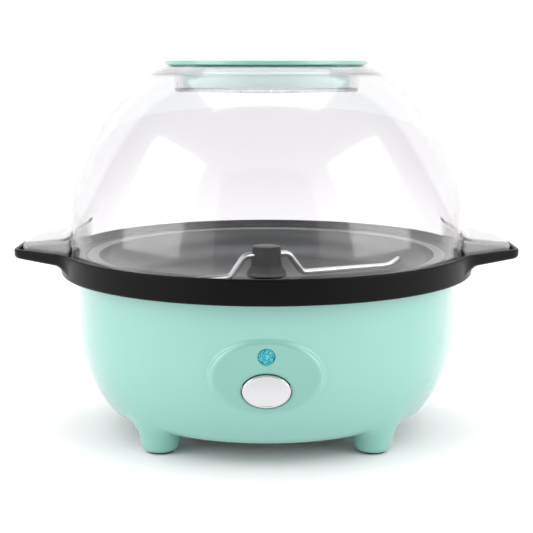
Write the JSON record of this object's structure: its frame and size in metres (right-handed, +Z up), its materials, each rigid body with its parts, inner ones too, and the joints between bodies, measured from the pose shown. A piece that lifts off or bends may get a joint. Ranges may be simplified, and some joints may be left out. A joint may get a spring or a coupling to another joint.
{
  "type": "popcorn maker",
  "caption": "Stirring popcorn maker: bowl casing on feet, black rim ring with tray handles, clear dome with cap, heated pan, motor-driven stirring rod, push button.",
  "frame": {"origin": "centre of the footprint at the bottom of the foot pads", "axes": "+Z up, -Y towards the front with the button, +X through the right-hand handle"},
  "size_m": [0.31, 0.254, 0.2274],
  "materials": {
    "mint_plastic": "glossy moulded plastic, pale mint green",
    "black_plastic": "satin heat-resistant moulded plastic, near black",
    "clear_plastic": "clear moulded polycarbonate",
    "silver_plastic": "pearl silver painted plastic",
    "lens_plastic": "tinted faceted plastic, blue-green",
    "non_stick": "cast aluminium with dark non-stick coating",
    "steel": "stainless or zinc-plated steel",
    "copper_winding": "enamelled copper winding",
    "gear_nylon": "natural nylon",
    "rubber_black": "soft matt rubber",
    "bronze": "sintered bronze",
    "ceramic_ivory": "ivory heat-resistant moulding",
    "lamp_glass": "small glass neon lamp",
    "silicone_grey": "silicone",
    "lead_black": "insulated wire",
    "lead_white": "insulated wire",
    "lead_red": "insulated wire",
    "lead_blue": "insulated wire"
  },
  "bodies": {
    "base": {"housing": "mint_plastic", "foot_pad_front_left": "rubber_black", "foot_pad_front_right": "rubber_black", "foot_pad_rear_left": "rubber_black", "foot_pad_rear_right": "rubber_black", "bottom_cover": "black_plastic", "bottom_cover_screws": "steel", "tie_screws": "steel", "rim_ring": "black_plastic", "heating_pan": "non_stick", "heating_element": "steel", "heat_shield": "steel", "shield_spacers": "steel", "motor_bracket": "steel", "bracket_screws": "steel", "gearbox_case": "black_plastic", "gearbox_lid": "steel", "gearbox_screws": "steel", "motor_case": "steel", "stator_coil": "copper_winding", "idler_pin": "steel", "shaft_bush": "bronze", "shaft_seal": "silicone_grey", "thermostat": "ceramic_ivory", "thermostat_clip": "steel", "thermal_fuse": "steel", "fuse_clip": "steel", "clip_screws": "steel", "switch_body": "black_plastic", "switch_plate": "black_plastic", "switch_plate_screws": "steel", "indicator_lens": "lens_plastic", "lamp_holder": "black_plastic", "indicator_lamp": "lamp_glass", "cord_gland": "black_plastic", "gland_nut": "black_plastic", "terminal_block": "ceramic_ivory", "terminal_screw": "steel", "live_lead": "lead_black", "neutral_lead": "lead_white", "switched_lead": "lead_red", "motor_lead": "lead_blue"},
    "dome": {"dome": "clear_plastic"},
    "cap": {"cap": "mint_plastic"},
    "stirrer": {"stirrer_hub": "black_plastic", "stirring_rod": "steel", "drive_shaft": "steel", "output_gear": "gear_nylon"},
    "idler": {"idler_gear": "gear_nylon"},
    "rotor": {"rotor": "steel"},
    "button": {"power_button": "silver_plastic"}
  },
  "joints": [
    {"name": "dome_lift", "type": "slide", "parent": "base", "child": "dome", "axis": [0, 0, 1], "range_m": [0, 0.16]},
    {"name": "cap_lift", "type": "slide", "parent": "dome", "child": "cap", "axis": [0, 0, 1], "range_m": [0, 0.04]},
    {"name": "stirrer_spin", "type": "hinge", "parent": "base", "child": "stirrer", "pos_m": [0, 0, 0.092], "axis": [0, 0, 1], "continuous": true},
    {"name": "idler_spin", "type": "hinge", "parent": "base", "child": "idler", "pos_m": [0.021, 0, 0.057], "axis": [0, 0, 1], "continuous": true},
    {"name": "rotor_spin", "type": "hinge", "parent": "base", "child": "rotor", "pos_m": [0.021, 0.015, 0.04], "axis": [0, 0, 1], "continuous": true},
    {"name": "button_press", "type": "slide", "parent": "base", "child": "button", "axis": [0, 0.9848, 0.1736], "range_m": [0, 0.0025], "stiffness_N_per_m": 800, "springref_m": -0.0012}
  ],
  "couplings": [
    {"joint": "idler_spin", "follows": "rotor_spin", "ratio": -0.25},
    {"joint": "stirrer_spin", "follows": "rotor_spin", "ratio": 0.0625}
  ]
}
